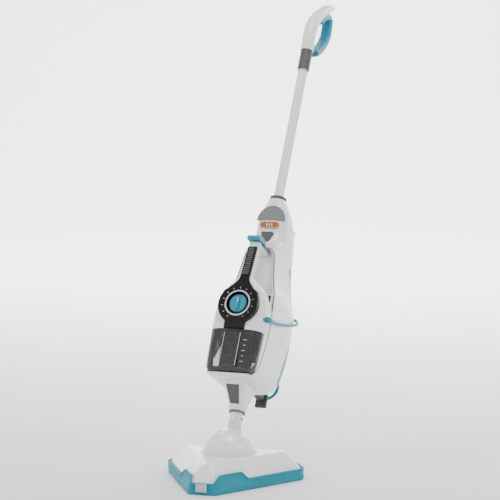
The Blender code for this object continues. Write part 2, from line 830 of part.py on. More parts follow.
def grip_bar():
    """The grip and the bridge at its top, as one bar swept in the middle plane."""
    path = [
        (-78.0, 370.4, 13, 10.0),
        (-75.5, 395, 13, 10.5),
        (-72.6, 420, 13, 10.5),
        (-70.8, 438, 13, 10.0),
    ]
    rings = []
    for y, z, half, deep in path:
        rings.append(super_section(half, y - deep, y + deep, z, 20, 3.2))
    rings.append(super_section(12.6, -80.5, -61.5, 452.5, 20, 3.2))
    rings.append(super_section(11.5, -79.0, -64.0, 455.6, 20, 3.2))
    bridge = []
    for y in (-74, -60, -45, -30, -22.0):
        half = 12.0 if y < -30 else 13.5
        ring = []
        for k in range(16):
            a = 2 * math.pi * k / 16
            c, s = math.cos(a), math.sin(a)
            x = half * math.copysign(abs(c) ** 0.6, c)
            ring.append((x, y, 448.5 + 6.4 * math.copysign(abs(s) ** 0.6, s)))
        bridge.append(ring)
    return loft(rings), loft(bridge)


def tank_shape(gap=0.0, top=None):
    """The space of the tank in the unit: wide in front and narrower behind. gap grows it."""
    low, high = 100.0, top or TANK_Z[1] + GAP + gap
    wide = block((-80, 80), (-130, -72 + gap), (low, high))
    deep = block((-50.3 - gap, 50.3 + gap), (-130, -57 + gap), (low, high))
    return wide, deep


# rows of (z, depth of the black trim's face)
TRIM_FACE = [(240, -101.5), (262, -103), (285, -104), (325, -104)]
TRIM_FACE += [(345, -101), (369, -96.2), (400, -91.5), (442, -85.5)]
TRIM_STATIONS = (
    256, 262, 266, 272, 280, 290, 300, 310, 320, 328, 334, 338, 342, 346, 350, 356, 362, 370, 385, 400, 420, 438,
)  # fmt: skip


def panel_face(z):
    """Depth of the black trim's face."""
    return at(TRIM_FACE, z)[0]


def panel_half(z):
    """Half-width of the black trim: stem, dial, flare and strip."""
    reach = DIAL_R * DIAL_R - (z - DIAL_Z) ** 2
    round_part = math.sqrt(reach) if reach > 0 else 0.0
    if z < DIAL_Z:
        return max(round_part, 23.5)
    flare = STRIP_W + 24.0 * max(0.0, 1 - (z - 336) / 34.0) ** 1.8 if z > 336 else 40
    return max(round_part, STRIP_W, min(flare, 38) if z > 330 else 0)


def trim_solid(grow=0.0, deep=12.0):
    rings = []
    for z in (249.9 - grow,) + TRIM_STATIONS + (442.0 + grow,):
        h = panel_half(min(max(z, 250), 442)) + grow
        f = panel_face(z) - (30 if grow else 0)
        thick = deep if z < 345 else deep - (deep - 6.0) * min((z - 345) / 25.0, 1)
        b = panel_face(z) + thick + grow
        c = 1.4 if not grow else 0.01
        g = f + c
        rings.append([(-h, b, z), (-h, g, z), (-h + c, f, z), (h - c, f, z), (h, g, z), (h, b, z)])
    return loft(rings)


def unit():
    outer = union(unit_front(), unit_back())
    hollow = union(unit_front(WALL), unit_back(WALL))
    bay, bay_deep = tank_shape()
    keep, keep_deep = tank_shape(WALL)
    pocket = trim_solid(0.35)
    pocket_keep = trim_solid(2.6)
    space = cut(hollow, keep, keep_deep, pocket_keep)
    shell = cut(outer, bay, bay_deep, space)
    lead_hole = rod(4.4, 40, 80, 14, CORD_EXIT_HOLE, "X")
    stem_hole = rod(4.2, 60, 110, 16, (0, 0, DIAL_Z), "Y")
    nozzle_hole = rod(4.6, -10, 30, 16, (0, 0, 200), "Y")
    shell = cut(shell, pocket.copy(), stem_hole, nozzle_hole, lead_hole)
    for name, side in (("unit_left", -1), ("unit_right", 1)):
        x = sorted((side * GAP / 2, side * 120))
        half = common(shell.copy(), block(x, (-150, 10), (120, 480)))
        pieces_only_largest(half)
        add(name, half, "white", BODY_FRAME)
    shell.free()

    grip, bridge = grip_bar()
    cradle, nearer = back_plate(), back_plate()
    bmesh.ops.translate(nearer, vec=(0, -GAP - 0.05, 0), verts=nearer.verts)
    grip = cut(union(grip, bridge), pocket, cradle.copy(), nearer)
    pieces_only_largest(grip)
    add("unit_grip", grip, "white", BODY_FRAME)
    add("unit_cradle", cradle, "white", BODY_FRAME)

    well = rod(WELL_R, 94.2, 120, 32, (0, 0, DIAL_Z), "Y")
    hole = rod(4.2, 60, 120, 16, (0, 0, DIAL_Z), "Y")
    ring_seat = rod(RING_R + 0.3, 102.4, 120, 32, (0, 0, DIAL_Z), "Y")
    add("trim_panel", cut(trim_solid(), well, hole, ring_seat), "black", BODY_FRAME)
    ring = pipe(RING_R, WELL_R - 0.4, 102.7, 105.2, 32, (0, 0, DIAL_Z), "Y")
    add("dial_ring", ring, "steel", BODY_FRAME)
    knob = union(
        rod(KNOB_R, 95.0, 102.6, 28, (0, 0, DIAL_Z), "Y", 1.2),
        rod(3.6, 70.5, 96, 12, (0, 0, DIAL_Z), "Y"),
    )
    add("steam_dial", knob, "teal", BODY_FRAME)
    trigger()
    tank()
    unit_inside()


CORD_EXIT_HOLE = (0, -80.0, 279.0)


def trigger():
    """The thumb trigger on top of the grip."""
    side = [
        (-88, 457.6), (-90, 462), (-86, 468), (-72, 470.6), (-58, 467),
        (-47, 459.2), (-46.5, 456.8), (-52, 456.8), (-64, 457.2), (-76, 457.2),
    ]  # fmt: skip
    body = loft([[(x, y, z) for y, z in side] for x in (-14.5, 14.5)])
    add("trigger", cut(body, rod(2.0, -30, 30, 12, (0, -72, 463), "X")), "teal", BODY_FRAME)
    add("trigger_pin", rod(1.6, -14.0, 14.0, 10, (0, -72, 463), "X"), "steel", BODY_FRAME)


def tank():
    outer = unit_front()
    wide, deep = tank_shape(-GAP, TANK_Z[1])
    body = common(outer, union(wide, deep))
    inner = unit_front(2.4)
    wide_in, deep_in = tank_shape(-GAP - 2.4, TANK_Z[1] - 2.4)
    hollow = common(inner, union(wide_in, deep_in))
    port = rod(8.0, 40, 70, 20, (30, 0, 222), "Y")
    water = cut(hollow, block((-90, 90), (-130, 0), (100, TANK_Z[0] + 2.4)))
    solid = cut(body, block((-90, 90), (-130, 0), (100, TANK_Z[0])), water, port)
    pieces_only_largest(solid)
    add("water_tank", solid, "smoke", BODY_FRAME)
    add("tank_cap", rod(7.4, 57.8, 63.0, 20, (30, 0, 222), "Y"), "grey", BODY_FRAME)


def unit_inside():
    add("boiler", rod(19, 262, 318, 24, (-18, -34, 0), "Z", 3), "steel", BODY_FRAME)
    add("pump", block((10, 34), (-48, -20), (262, 300), 2), "inner", BODY_FRAME)
    add("water_tube", rod(3, 252.6, 261.6, 12, (22, -34, 0)), "inner", BODY_FRAME)
    add("steam_valve", rod(9, 56, 70, 16, (0, 0, DIAL_Z), "Y"), "inner", BODY_FRAME)
    nozzle = union(rod(4.0, 1.0, 20, 16, (0, 0, 200), "Y"), rod(9, 12, 26, 16, (0, 0, 200), "Y"))
    add("steam_nozzle", nozzle, "steel", BODY_FRAME)
    add("steam_tube", rod(3, 209.3, 261.6, 12, (-6, -20, 0)), "inner", BODY_FRAME)
    add("microswitch", block((6, 22), (-45, -36), (304, 316)), "black", BODY_FRAME)


# ------------------------------------------------------------------ pole and handle

# centreline of the handle's white front: (depth, height, half-thickness)
SPINE = [
    (0, 959.0, 14.5),
    (-1, 975, 14.5),
    (-2, 1000, 14.0),
    (0, 1018, 13.5),
    (9, 1040, 12.5),
    (26, 1062, 11.5),
    (46, 1083, 10.5),
    (64, 1100, 9.5),
    (78, 1110, 8.0),
]


def sweep(path, half, n=18, power=2.6):
    """A bar along a path of (depth, height, half-thickness) in the middle plane, half wide each way."""
    rings = []
    for i, (y, z, thick) in enumerate(path):
        a = path[max(i - 1, 0)]
        b = path[min(i + 1, len(path) - 1)]
        t = Vector((b[0] - a[0], b[1] - a[1])).normalized()
        normal = Vector((t.y, -t.x))
        ring = []
        for k in range(n):
            ang = 2 * math.pi * k / n
            c, s = math.cos(ang), math.sin(ang)
            x = half * math.copysign(abs(c) ** (2 / power), c)
            off = thick * math.copysign(abs(s) ** (2 / power), s)
            ring.append((x, y + normal.x * off, z + normal.y * off))
        rings.append(ring)
    return loft(rings)


def pole():
    tube = pipe(POLE_R, POLE_R - POLE_WALL, SOCKET_BOTTOM + 6.5, POLE_TOP, 28)
    add("pole", tube, "white", BODY_FRAME)
    add("pole_collar", pipe(COLLAR_R, POLE_R + 0.4, *COLLAR_Z, 28), "grey", BODY_FRAME)
    shell = cut(sweep(SPINE, 14.0), rod(POLE_R + 0.4, 940, POLE_TOP + 1, 28))
    add("handle_shell", shell, "white", BODY_FRAME)
    grip = [
        (31.5, 1047.0, 5.0),
        (45, 1063.0, 6.0),
        (61, 1077, 7.0),
        (74, 1084.0, 8.5),
        (84, 1080, 10.0),
        (87, 1062, 10.5),
        (88, 1039, 10.5),
        (76, 1013, 10.5),
        (62, 993, 10.0),
        (48, 978, 9.0),
        (39, 971, 7.5),
    ]
    loop = sweep(grip, 12.5)
    loop = cut(loop, grown_spine())
    pieces_only_largest(loop)
    add("grip_loop", loop, "teal", BODY_FRAME)
    link = [(12.6, 966, 6.5), (21, 969, 6.5), (30.6, 972.5, 6.0)]
    bracket = cut(sweep(link, 7.0, 12), grown_spine(), rod(COLLAR_R + GAP, 900, 962, 28))
    bracket = cut(bracket, grown_grip(grip))
    pieces_only_largest(bracket)
    add("handle_link", bracket, "grey", BODY_FRAME)
    clip = [(14.0, 1019.0), (24.0, 1004.0), (15.0, 1002.0), (11.8, 1001.6)]
    wedge = loft([[(x, y, z) for y, z in clip] for x in (-4, 4)])
    wedge = cut(wedge, grown_spine())
    pieces_only_largest(wedge)
    add("cord_clip", wedge, "grey", BODY_FRAME)


def grown_spine():
    return sweep([(y, z, t + GAP) for y, z, t in SPINE], 14.0 + GAP)


def grown_grip(path):
    return sweep([(y, z, t + GAP) for y, z, t in path], 12.5 + GAP)


# ------------------------------------------------------------------ mains cord

# The lead's route, from the strain relief on the unit's right side back along the body to its rear.
LEAD = [
    (LEAD_X, -77.5, 279.4),
    (LEAD_X, -65, 281.5),
    (LEAD_X, -48, 284.5),
    (LEAD_X, -28, 289),
    (LEAD_X, -6, 295),
    (LEAD_X, 16, 302),
    (66.4, 38, 310),
    (65.6, 58, 317.5),
    (63.8, 76, 325),
    (60.0, 92, 333),
    (53.0, 105, 341.5),
    (43.5, 114.5, 349),
    (33, 120, 353),
    (22.5, 123, 355.5),
    (11, 124.5, 357),
]


def hank_ring(radius, y):
    """A stadium outline about the hank's middle, level with depth y."""
    n = 10
    ring = []
    for k in range(n + 1):
        a = math.pi * k / n
        ring.append((HANK_X + radius * math.cos(a), y, HANK_Z + HANK_HALF + radius * math.sin(a)))
    for k in range(n + 1):
        a = math.pi + math.pi * k / n
        ring.append((HANK_X + radius * math.cos(a), y, HANK_Z - HANK_HALF + radius * math.sin(a)))
    return ring


def cord():
    relief = union(
        lathe([(0, 52), (3.9, 52), (3.9, 60.8), (6.2, 60.9), (6.2, 62.7), (0, 62.7)], 16, (0, -80, 279), "X"),
        block((61.5, 71.2), (-85, -78.2), (274.6, 284.0), 2.0),
    )
    add("strain_relief", relief, "teal", BODY_FRAME)

    inner = HANK_IN_R - CORD_D / 2 - 0.4
    outer = HANK_IN_R + PITCH * (HANK_COLUMNS - 1) + CORD_D / 2 + 0.4
    low = HANK_Y - CORD_D / 2 - 0.2
    high = HANK_Y + PITCH * HANK_LAYERS + CORD_D / 2 + 0.2
    rings = [hank_ring(inner, low), hank_ring(outer, low), hank_ring(outer, high), hank_ring(inner, high)]
    bm = bmesh.new()
    rows = [[bm.verts.new(p) for p in ring] for ring in rings]
    n = len(rows[0])
    for i in range(4):
        a, b = rows[i], rows[(i + 1) % 4]
        for k in range(n):
            j = (k + 1) % n
            bm.faces.new((a[k], a[j], b[j], b[k]))
    add("cord_hank", bm, "teal", BODY_FRAME)

    tube("cord_lead", smooth(LEAD, 30))

    near = high + GAP
    plug_x, plug_low = HANK_X - HANK_IN_R, HANK_Z - 8
    body = block((plug_x - 11, plug_x + 11), (near + 0.6, near + 23), (plug_low, plug_low + 38), 4)
    centres = [(plug_x + side * 6.5, near + 12, 0) for side in (-1, 1)]
    prongs = [rod(2.0, plug_low + 37, plug_low + 55, 8, centre) for centre in centres]
    add("mains_plug", union(body, *prongs), "black", BODY_FRAME)
    r = CORD_D / 2
    tail = [
        (plug_x, near + r + 0.2, plug_low - 38),
        (plug_x, near + r + 1.0, plug_low - 28),
        (plug_x, near + r + 4.5, plug_low - 15),
        (plug_x, near + 11.5, plug_low - 6),
        (plug_x, near + 12, plug_low - GAP),
    ]
    tube("cord_tail", smooth(tail, 8))
    tie(low, near + 23)


def tube(name, points):
    """A plain length of the cord along a line of points."""
    curve = bpy.data.curves.new(name, "CURVE")
    curve.dimensions = "3D"
    curve.bevel_depth = CORD_D / 2 * MM
    curve.bevel_resolution = 2
    curve.use_fill_caps = True
    spline = curve.splines.new("POLY")
    spline.points.add(len(points) - 1)
    for slot, p in zip(spline.points, points):
        slot.co = (p[0] * MM, p[1] * MM, p[2] * MM, 1)
    curve.materials.append(material("teal"))
    o = bpy.data.objects.new(name, curve)
    bpy.context.scene.collection.objects.link(o)
    o.parent = BODY_FRAME


def tie(low, high):
    """The strap round the hank and the plug, at the hank's middle."""
    reach = HANK_IN_R + PITCH * (HANK_COLUMNS - 1) + CORD_D / 2 + 0.9
    plug_x = HANK_X - HANK_IN_R
    face = HANK_Y + PITCH * HANK_LAYERS + CORD_D / 2 + 1.0
    inside = [
        (HANK_X - reach, low - 0.5),
        (HANK_X + reach, low - 0.5),
        (HANK_X + reach, face),
        (plug_x + 12.5, high + 0.6),
        (plug_x - 12.5, high + 0.6),
        (HANK_X - reach, face),
    ]
    t = 1.4
    moves = [(-t, -t), (t, -t), (t, t * 0.6), (t * 0.4, t), (-t * 0.4, t), (-t, t * 0.6)]
    rings = []
    for grow, z in ((0, HANK_Z + 2), (1, HANK_Z + 2), (1, HANK_Z + 20), (0, HANK_Z + 20)):
        rings.append([(x + dx * grow, y + dy * grow, z) for (x, y), (dx, dy) in zip(inside, moves)])
    add("cord_tie", loft(rings, closed=True), "black", BODY_FRAME)


def smooth(points, count):
    """Points on a smooth curve through the given ones."""
    pts = [Vector(p) for p in points]
    out = []
    total = len(pts) - 1
    for i in range(count):
        u = i / (count - 1) * total
        k = min(int(u), total - 1)
        t = u - k
        p0, p1, p2, p3 = pts[max(k - 1, 0)], pts[k], pts[k + 1], pts[min(k + 2, total)]
        out.append(
            0.5
            * (
                2 * p1
                + (p2 - p0) * t
                + (2 * p0 - 5 * p1 + 4 * p2 - p3) * t * t
                + (3 * p1 - p0 - 3 * p2 + p3) * t * t * t
            )
        )
    return out


floor_head()
ball_cup()
knuckle()
neck()
body()
unit()
pole()
cord()
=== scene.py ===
"""Steam mop: finishes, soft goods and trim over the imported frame.

Lengths in the tables are millimetres. "Body space" is the leaning body drawn upright, with the ball
joint's centre as its origin, the pole along +Z and the front towards -Y; "head space" is the floor head
before it is turned.
"""

import json
import math

import bmesh
import bpy
import numpy as np
from mathutils import Matrix, Vector, noise


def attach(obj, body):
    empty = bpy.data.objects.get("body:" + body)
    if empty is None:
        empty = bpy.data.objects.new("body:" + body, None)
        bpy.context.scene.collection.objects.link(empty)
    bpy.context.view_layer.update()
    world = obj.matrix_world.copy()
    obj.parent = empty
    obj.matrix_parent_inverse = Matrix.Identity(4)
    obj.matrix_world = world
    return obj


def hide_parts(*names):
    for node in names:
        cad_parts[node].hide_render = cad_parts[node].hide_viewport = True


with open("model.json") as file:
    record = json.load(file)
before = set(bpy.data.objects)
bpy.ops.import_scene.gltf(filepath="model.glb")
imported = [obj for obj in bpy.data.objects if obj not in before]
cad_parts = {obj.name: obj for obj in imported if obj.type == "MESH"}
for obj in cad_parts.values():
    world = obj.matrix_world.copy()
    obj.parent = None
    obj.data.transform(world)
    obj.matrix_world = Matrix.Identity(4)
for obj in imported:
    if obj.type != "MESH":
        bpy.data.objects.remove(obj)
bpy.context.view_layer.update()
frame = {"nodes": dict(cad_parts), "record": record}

MM = 0.001
LEAN = math.radians(27.0)
HEAD_TURN = math.radians(5.4)
BALL = Vector((0, 0, 50.5))
BODY_SPACE = Matrix.Translation(BALL) @ Matrix.Rotation(-LEAN, 4, "X")
HEAD_SPACE = Matrix.Rotation(HEAD_TURN, 4, "Z")


def in_body(point):
    """A body-space point in the row frame, in metres."""
    return BODY_SPACE @ Vector(point) * MM


# ------------------------------------------------------------------ camera, light and floor


def set_camera():
    data = bpy.data.cameras.new("camera")
    data.lens = 142.4
    data.sensor_width = 36.0
    data.clip_start = 0.1
    camera = bpy.data.objects.new("camera", data)
    bpy.context.scene.collection.objects.link(camera)
    camera.location = (1.685, -3.758, 0.85)
    camera.rotation_euler = Vector((-0.3977, 0.9133, -0.0882)).to_track_quat("-Z", "Y").to_euler()
    bpy.context.scene.camera = camera


def soft_light(name, place, aim, size, power, tint=(1, 1, 1)):
    data = bpy.data.lights.new(name, "AREA")
    data.shape = "RECTANGLE"
    data.size, data.size_y = size
    data.energy = power
    data.color = tint
    lamp = bpy.data.objects.new(name, data)
    bpy.context.scene.collection.objects.link(lamp)
    lamp.location = place
    lamp.rotation_euler = (Vector(aim) - Vector(place)).to_track_quat("-Z", "Y").to_euler()


def set_studio():
    world = bpy.data.worlds.new("studio")
    world.use_nodes = True
    sky = world.node_tree.nodes["Background"]
    sky.inputs["Color"].default_value = (1, 1, 1, 1)
    sky.inputs["Strength"].default_value = 0.62
    bpy.context.scene.world = world
    middle = (0, 0.15, 0.45)
    soft_light("key", (-2.3, -2.6, 1.9), middle, (0.8, 1.2), 50)
    soft_light("top", (0.3, -0.2, 3.6), middle, (1.6, 1.6), 70)
    soft_light("side", (3.0, -0.4, 1.3), middle, (0.4, 2.0), 26)
    soft_light("back", (0.8, 3.0, 2.2), middle, (1.6, 1.2), 40)
    soft_light("backdrop", (-1.6, 3.6, 4.6), (-2.6, 7.6, 0.6), (3.4, 2.4), 1500)


# ------------------------------------------------------------------ finishes


class Signal:
    """A socket's output. Arithmetic on it adds the Math nodes that work it out."""

    def __init__(self, socket):
        self.socket = socket
        self.tree = socket.id_data

    def node(self, kind, settings=None, inputs=None, out=0):
        """A new node: its settings first, then the values or links of its sockets."""
        made = self.tree.nodes.new(kind)
        for key, value in (settings or {}).items():
            if key == "stops":
                ramp = made.color_ramp.elements
                for i, (place, colour) in enumerate(value):
                    stop = ramp[i] if i < 2 else ramp.new(place)
                    stop.position, stop.color = place, colour
            else:
                setattr(made, key, value)
        for key, value in (inputs or {}).items():
            if isinstance(value, Signal):
                self.tree.links.new(value.socket, made.inputs[key])
            else:
                made.inputs[key].default_value = value
        return Signal(made.outputs[out])

    def maths(self, operation, *values):
        return self.node("ShaderNodeMath", {"operation": operation}, dict(enumerate(values)))

    def __add__(self, other):
        return self.maths("ADD", self, other)

    __radd__ = __add__

    def __mul__(self, other):
        return self.maths("MULTIPLY", self, other)

    __rmul__ = __mul__

    def __sub__(self, other):
        return self.maths("SUBTRACT", self, other)

    def __rsub__(self, other):
        return self.maths("SUBTRACT", other, self)

    def band(self, low, high):
        """0 below low, 1 above high, and a smooth rise between."""
        return self.node(
            "ShaderNodeMapRange",
            {"interpolation_type": "SMOOTHSTEP"},
            {0: self, 1: low, 2: high, 3: 0.0, 4: 1.0},
        )

    def axis(self, index):
        return self.node("ShaderNodeSeparateXYZ", {}, {0: self}, index)

    def stretched(self, scale):
        return self.node("ShaderNodeVectorMath", {"operation": "MULTIPLY"}, {0: self, 1: scale})

    def cloud(self, scale, detail=3.0, rough=0.5):
        """Soft noise over the surface, about 0 to 1."""
        inputs = {"Vector": self, "Scale": scale, "Detail": detail, "Roughness": rough}
        return self.node("ShaderNodeTexNoise", {}, inputs)

    def cells(self, scale, feature="F1"):
        inputs = {"Vector": self, "Scale": scale}
        return self.node("ShaderNodeTexVoronoi", {"feature": feature}, inputs)

    def mixed(self, low, high):
        """A colour between two, by this signal."""
        inputs = {"Factor": self, 6: low, 7: high}
        return self.node("ShaderNodeMix", {"data_type": "RGBA"}, inputs, 2)

    def bump(self, strength, distance, under=None):
        inputs = {"Strength": strength, "Distance": distance, "Height": self}
        if under:
            inputs["Normal"] = under
        return self.node("ShaderNodeBump", {}, inputs)


def finish(name, constants, varying):
    """A material whose varying sockets come from varying(place), place being in metres on the piece."""
    made = bpy.data.materials.new(name)
    made.use_nodes = True
    tree = made.node_tree
    shader = tree.nodes["Principled BSDF"]
    for key, value in constants.items():
        shader.inputs[key].default_value = value
    place = Signal(tree.nodes.new("ShaderNodeTexCoord").outputs["Object"])
    for key, value in varying(place).items():
        if isinstance(value, Signal):
            tree.links.new(value.socket, shader.inputs[key])
        else:
            shader.inputs[key].default_value = value
    return made


def rgb(r, g, b):
    return (r, g, b, 1.0)


def moulded(light, dark, grain, depth, rough, spread, scuff=0.25):
    """Moulded plastic: a slow shift of tone, a fine grain, rubbed and dusty patches."""

    def varying(place):
        tone = place.cloud(7.0, 2.0)
        dust = place.cloud(160.0, 5.0, 0.65).band(0.52, 0.78)
        rub = place.stretched((900.0, 900.0, 60.0)).cloud(1.0, 3.0).band(0.60, 0.72)
        fine = place.cloud(grain, 2.0)
        peel = place.cloud(grain * 0.12, 2.0)
        colour = (tone * 0.75 + dust * 0.25).mixed(light, dark)
        return {
            "Base Color": colour,
            "Roughness": rough + spread * tone + dust * spread * 0.8 + rub * spread * scuff,
            "Normal": fine.bump(0.35, depth, peel.bump(0.2, depth * 2.5)),
        }

    return varying


def make_finishes():
    made = {}
    made["white_gloss"] = finish(
        "white gloss shell",
        {"IOR": 1.5, "Coat Weight": 0.35, "Coat Roughness": 0.08},
        moulded(rgb(0.86, 0.865, 0.865), rgb(0.80, 0.805, 0.81), 2600, 0.00002, 0.16, 0.07),
    )
    made["teal_plastic"] = finish(
        "teal satin plastic",
        {"IOR": 1.48, "Coat Weight": 0.1, "Coat Roughness": 0.25},
        moulded(rgb(0.001, 0.235, 0.345), rgb(0.001, 0.185, 0.28), 5200, 0.00005, 0.30, 0.10),
    )
    made["grey_plastic"] = finish(
        "grey moulded plastic",
        {"IOR": 1.47},
        moulded(rgb(0.085, 0.085, 0.09), rgb(0.062, 0.062, 0.067), 4200, 0.00006, 0.34, 0.12),
    )
    made["pale_grey"] = finish(
        "pale grey plastic",
        {"IOR": 1.47},
        moulded(rgb(0.50, 0.51, 0.52), rgb(0.42, 0.43, 0.44), 4200, 0.00005, 0.3, 0.10),
    )
    # the scoop insert's dark grey is painted shade: the recess's shaded inner surface given as the
    # plastic's colour
    made["scoop_painted_shade"] = finish(
        "scoop painted shade plastic",
        {"IOR": 1.47},
        moulded(rgb(0.19, 0.193, 0.20), rgb(0.15, 0.153, 0.16), 4200, 0.00005, 0.3, 0.10),
    )
    made["mark_white"] = finish(
        "printed white",
        {"IOR": 1.45},
        moulded(rgb(0.80, 0.80, 0.80), rgb(0.70, 0.70, 0.70), 3000, 0.00001, 0.45, 0.10),
    )
    made["inner_plastic"] = finish(
        "inner plastic",
        {"IOR": 1.47},
        moulded(rgb(0.32, 0.32, 0.33), rgb(0.24, 0.24, 0.25), 3000, 0.00006, 0.45, 0.15),
    )
    made["black_gloss"] = finish(
        "black gloss trim",
        {"IOR": 1.36, "Coat Weight": 0.12, "Coat Roughness": 0.05},
        moulded(rgb(0.004, 0.004, 0.0045), rgb(0.008, 0.008, 0.009), 1800, 0.00001, 0.10, 0.10, 0.8),
    )
    made["black_plastic"] = finish(
        "black textured plastic",
        {"IOR": 1.46},
        moulded(rgb(0.026, 0.026, 0.029), rgb(0.040, 0.040, 0.044), 3600, 0.00008, 0.38, 0.16),
    )
    made["seal_rubber"] = finish(
        "seal rubber",
        {"IOR": 1.45},
        moulded(rgb(0.16, 0.16, 0.165), rgb(0.10, 0.10, 0.105), 2600, 0.00006, 0.55, 0.15),
    )
    made["cord_sheath"] = finish(
        "teal cord sheath",
        {"IOR": 1.47},
        moulded(rgb(0.004, 0.225, 0.295), rgb(0.003, 0.175, 0.235), 3000, 0.00005, 0.38, 0.12),
    )

    def lacquer(place):
        flakes = place.cells(2200.0)
        tone = place.cloud(60.0, 2.0)
        return {
            "Base Color": (tone * 0.7 + flakes * 0.3).mixed(
                rgb(0.52, 0.125, 0.012), rgb(0.38, 0.085, 0.008)
            ),
            "Roughness": 0.24 + tone * 0.12,
            "Normal": flakes.bump(0.1, 0.00004),
        }

    made["orange_plate"] = finish(
        "orange badge lacquer", {"Metallic": 0.25, "Coat Weight": 0.4}, lacquer
    )

    def brushed(light, dark, along):
        def varying(place):
            lines = place.stretched(along).cloud(1.0, 4.0)
            tone = place.cloud(40.0, 2.0)
            return {
                "Base Color": (lines * 0.6 + tone * 0.4).mixed(light, dark),
                "Roughness": 0.16 + lines * 0.2 + tone * 0.05,
                "Normal": lines.bump(0.12, 0.00003),
            }

        return varying

    made["metal"] = finish(
        "brushed steel",
        {"Metallic": 1.0},
        brushed(rgb(0.62, 0.62, 0.63), rgb(0.45, 0.45, 0.46), (4000.0, 4000.0, 160.0)),
    )
    made["chrome_trim"] = finish(
        "satin silver ring",
        {"Metallic": 1.0},
        brushed(rgb(0.80, 0.80, 0.81), rgb(0.62, 0.62, 0.64), (260.0, 3000.0, 3000.0)),
    )

    def smoked(place):
        wash = place.cloud(14.0, 2.0)
        drops = place.cells(420.0)
        mist = place.cloud(90.0, 4.0).band(0.45, 0.7)
        beads = 1.0 - drops.band(0.10, 0.38)
        return {
            "Base Color": (wash * 0.7 + mist * 0.3).mixed(
                rgb(0.022, 0.022, 0.024), rgb(0.062, 0.062, 0.066)
            ),
            "Roughness": 0.07 + mist * 0.10 + beads * mist * 0.06,
            "Normal": (beads * mist).bump(0.06, 0.00015),
        }

    made["smoke_clear"] = finish(
        "smoked tank",
        {"IOR": 1.46, "Coat Weight": 0.3, "Coat Roughness": 0.04, "Transmission Weight": 0.12},
        smoked,
    )

    def microfibre(place):
        tufts = place.cells(330.0, "SMOOTH_F1")
        rows = place.cells(760.0)
        fibre = place.cloud(2400.0, 3.0)
        worn = place.cloud(22.0, 4.0)
        # the tufts' share darkens the pad in the low gaps between tufts, which is painted shade; the
        # fibre and worn shares are random tone and wear
        shade = tufts * 0.5 + fibre * 0.3 + worn * 0.3
        pile = fibre.bump(0.4, 0.0002)
        loops = (1.0 - rows).bump(0.5, 0.0004, pile)
        return {
            "Base Color": shade.mixed(rgb(0.006, 0.30, 0.40), rgb(0.003, 0.155, 0.22)),
            "Roughness": 0.80 + fibre * 0.15,
            "Normal": (1.0 - tufts).bump(0.75, 0.0010, loops),
        }

    made["teal_fabric"] = finish(
        "microfibre pad",
        {"IOR": 1.4, "Sheen Weight": 0.35, "Sheen Roughness": 0.5, "Sheen Tint": rgb(0.5, 0.8, 0.9)},
        microfibre,
    )

    def webbing(place):
        across = place.axis(0) * 5200.0
        ribs = across.maths("SINE", across) * 0.5 + 0.5
        weave = place.cells(1500.0)
        tone = place.cloud(60.0)
        return {
            "Base Color": (ribs * 0.4 + tone * 0.6).mixed(
                rgb(0.012, 0.30, 0.40), rgb(0.006, 0.19, 0.27)
            ),
            "Roughness": 0.72 + tone * 0.12,
            "Normal": (ribs + weave * 0.4).bump(0.6, 0.0003),
        }

    made["binding"] = finish("pad binding", {"Sheen Weight": 0.2}, webbing)

    def paper_floor(place):
        tone = place.cloud(1.4, 2.0)
        tooth = place.cloud(600.0, 2.0)
        return {
            "Base Color": tone.mixed(rgb(0.86, 0.86, 0.865), rgb(0.82, 0.82, 0.825)),
            "Roughness": 0.72 + tooth * 0.1,
            "Normal": tooth.bump(0.05, 0.0002),
        }

    made["floor"] = finish("pale floor", {}, paper_floor)
    return made


FINISHES = make_finishes()
# pieces that keep their slot's colour family but have a finish of their own
OWN_FINISH = {
    # the scoop insert's dark grey finish is painted shade of its recess
    "scoop_insert": "scoop_painted_shade",
    "base_plate": "grey_plastic",
    "corner_bumper": "pale_grey",
}


def finish_frame():
    """Every CAD node's material slots take the finish of the record's slot."""
    slots = {s["node"]: s["material_slot"] for s in frame["record"]["subparts"]}
    for name, node in frame["nodes"].items():
        chosen = FINISHES[OWN_FINISH.get(name, slots[name])]
        if not node.data.materials:
            node.data.materials.append(chosen)
        for i in range(len(node.data.materials)):
            node.data.materials[i] = chosen


# ------------------------------------------------------------------ making pieces


def piece(name, mesh, finish_name, body, space=BODY_SPACE, smooth=35.0):
    """A new piece from a bmesh in millimetres of the space, riding on a body."""
    data = bpy.data.meshes.new(name)
    bmesh.ops.recalc_face_normals(mesh, faces=mesh.faces)
    mesh.to_mesh(data)
    mesh.free()
    data.transform(Matrix.Scale(MM, 4) @ space)
    data.materials.append(FINISHES[finish_name])
    data.shade_smooth()
    data.set_sharp_from_angle(angle=math.radians(smooth))
    made = bpy.data.objects.new(name, data)
    bpy.context.scene.collection.objects.link(made)
    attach(made, body)
    return made


def loft(rings, closed=False):
    bm = bmesh.new()
    rows = [[bm.verts.new(p) for p in ring] for ring in rings]
    n = len(rows[0])
    for a, b in list(zip(rows, rows[1:])) + ([(rows[-1], rows[0])] if closed else []):
        for i in range(n):
            j = (i + 1) % n
            bm.faces.new((a[i], a[j], b[j], b[i]))
    if not closed:
        bm.faces.new(rows[0][::-1])
        bm.faces.new(rows[-1])
    return bm


def smooth_line(points, count):
    """Points evenly spread by number on a smooth curve through the given ones."""
    pts = np.array(points, float)
    total = len(pts) - 1
    out = []
    for i in range(count):
        u = i / (count - 1) * total
        k = min(int(u), total - 1)
        t = u - k
        p0, p1, p2, p3 = pts[max(k - 1, 0)], pts[k], pts[k + 1], pts[min(k + 2, total)]
        square = 2 * p0 - 5 * p1 + 4 * p2 - p3
        cube = 3 * p1 - p0 - 3 * p2 + p3
        out.append(0.5 * (2 * p1 + (p2 - p0) * t + square * t * t + cube * t**3))
    return out


# ------------------------------------------------------------------ mains cord

